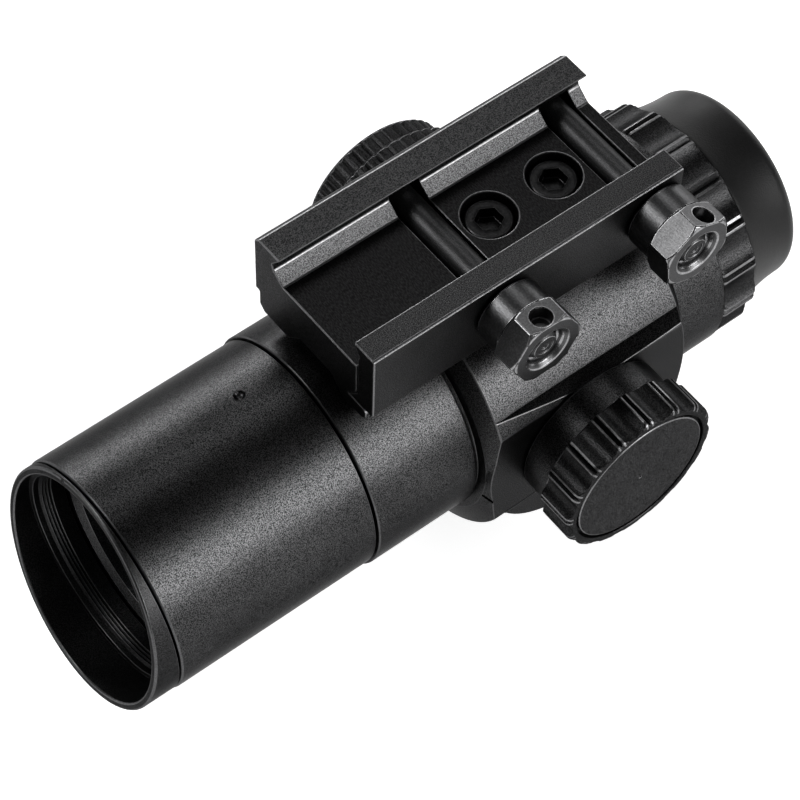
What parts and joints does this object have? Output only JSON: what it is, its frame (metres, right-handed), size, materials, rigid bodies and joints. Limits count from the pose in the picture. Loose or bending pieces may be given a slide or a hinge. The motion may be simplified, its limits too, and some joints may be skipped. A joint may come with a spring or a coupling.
{
  "type": "compact tube optical sight",
  "caption": "Compact black tube sight with slanted hood, scalloped focus ring, capped turrets, brightness dial and a clamp for a slotted accessory rail.",
  "frame": {"origin": "on the flat floor of the rail seat, midway between the two cross bars", "axes": "+Z out of the seat towards the rail, +Y along the optical axis from the objective to the eye, +X towards the clamp nuts and the windage cap"},
  "size_m": [0.0727, 0.1374, 0.0709],
  "materials": {
    "anodised_aluminium": "bead-blasted, black anodised, with a fine sparkling grain and bright worn edges",
    "blackened_inner_metal": "turned and black anodised, satin",
    "blackened_steel": "black oxide with a dull sheen",
    "soft_rubber": "smooth matt moulded rubber",
    "coated_glass": "polished, with a faint coating tint",
    "black_plastic": "moulded, matt",
    "brass_contact": "bright rolled strip",
    "cell_can": "bright pressed steel can"
  },
  "bodies": {
    "sight_body": {"housing": "anodised_aluminium", "sleeve": "anodised_aluminium", "hood_ring": "anodised_aluminium", "objective_retainer": "blackened_inner_metal", "objective_crown_lens": "coated_glass", "objective_flint_lens": "coated_glass", "prism_carrier": "blackened_inner_metal", "half_penta_prism": "coated_glass", "roof_prism": "coated_glass", "reticle_holder": "blackened_inner_metal", "reticle_glass": "coated_glass", "reticle_led": "black_plastic", "mount_base": "anodised_aluminium", "base_screw_front": "blackened_steel", "base_screw_rear": "blackened_steel", "cross_bolt_front": "blackened_steel", "cross_bolt_rear": "blackened_steel", "windage_turret": "anodised_aluminium", "elevation_turret": "anodised_aluminium", "dial_base": "anodised_aluminium"},
    "jaw": {"clamp_jaw": "anodised_aluminium"},
    "nut_front": {"clamp_nut_front": "blackened_steel"},
    "nut_rear": {"clamp_nut_rear": "blackened_steel"},
    "windage_cover": {"windage_cap": "anodised_aluminium", "windage_cap_plate": "anodised_aluminium"},
    "windage_screw": {"windage_adjuster": "blackened_steel"},
    "elevation_cover": {"elevation_cap": "anodised_aluminium", "elevation_cap_plate": "anodised_aluminium"},
    "elevation_screw": {"elevation_adjuster": "blackened_steel"},
    "dial": {"brightness_dial": "anodised_aluminium", "battery_contact": "brass_contact", "battery": "cell_can"},
    "battery_cover": {"battery_cap": "anodised_aluminium"},
    "eyepiece": {"focus_ring": "anodised_aluminium", "eyecup": "soft_rubber", "eyepiece_cell": "blackened_inner_metal", "field_lens": "coated_glass", "eye_lens": "coated_glass", "eye_lens_retainer": "blackened_inner_metal"}
  },
  "joints": [
    {"name": "nut_front_turn", "type": "hinge", "parent": "jaw", "child": "nut_front", "pos_m": [0.02, -0.01502, -0.001], "axis": [1, 0, 0], "range_deg": [0, 1800]},
    {"name": "nut_rear_turn", "type": "hinge", "parent": "jaw", "child": "nut_rear", "pos_m": [0.02, 0.01502, -0.001], "axis": [1, 0, 0], "range_deg": [0, 1800]},
    {"name": "jaw_slide", "type": "slide", "parent": "sight_body", "child": "jaw", "axis": [1, 0, 0], "range_m": [0, 0.004]},
    {"name": "windage_cap_turn", "type": "hinge", "parent": "sight_body", "child": "windage_cover", "pos_m": [0, -0.0035, -0.0325], "axis": [1, 0, 0], "range_deg": [0, 1080]},
    {"name": "windage_adjust", "type": "hinge", "parent": "sight_body", "child": "windage_screw", "pos_m": [0, -0.0035, -0.0325], "axis": [1, 0, 0], "range_deg": [-540, 540]},
    {"name": "elevation_cap_turn", "type": "hinge", "parent": "sight_body", "child": "elevation_cover", "pos_m": [0, -0.0035, -0.0325], "axis": [0, 0, -1], "range_deg": [0, 1080]},
    {"name": "elevation_adjust", "type": "hinge", "parent": "sight_body", "child": "elevation_screw", "pos_m": [0, -0.0035, -0.0325], "axis": [0, 0, -1], "range_deg": [-540, 540]},
    {"name": "brightness_turn", "type": "hinge", "parent": "sight_body", "child": "dial", "pos_m": [0, -0.001, -0.0325], "axis": [-1, 0, 0], "range_deg": [0, 330]},
    {"name": "battery_cap_turn", "type": "hinge", "parent": "dial", "child": "battery_cover", "pos_m": [0, -0.001, -0.0325], "axis": [-1, 0, 0], "range_deg": [0, 720]},
    {"name": "focus_turn", "type": "hinge", "parent": "sight_body", "child": "eyepiece", "pos_m": [0, 0.03, -0.0325], "axis": [0, 1, 0], "range_deg": [-200, 200]}
  ],
  "couplings": [
    {"joint": "nut_rear_turn", "follows": "nut_front_turn", "ratio": 1},
    {"joint": "jaw_slide", "follows": "nut_front_turn", "m_per_rad": 0.00012732}
  ]
}
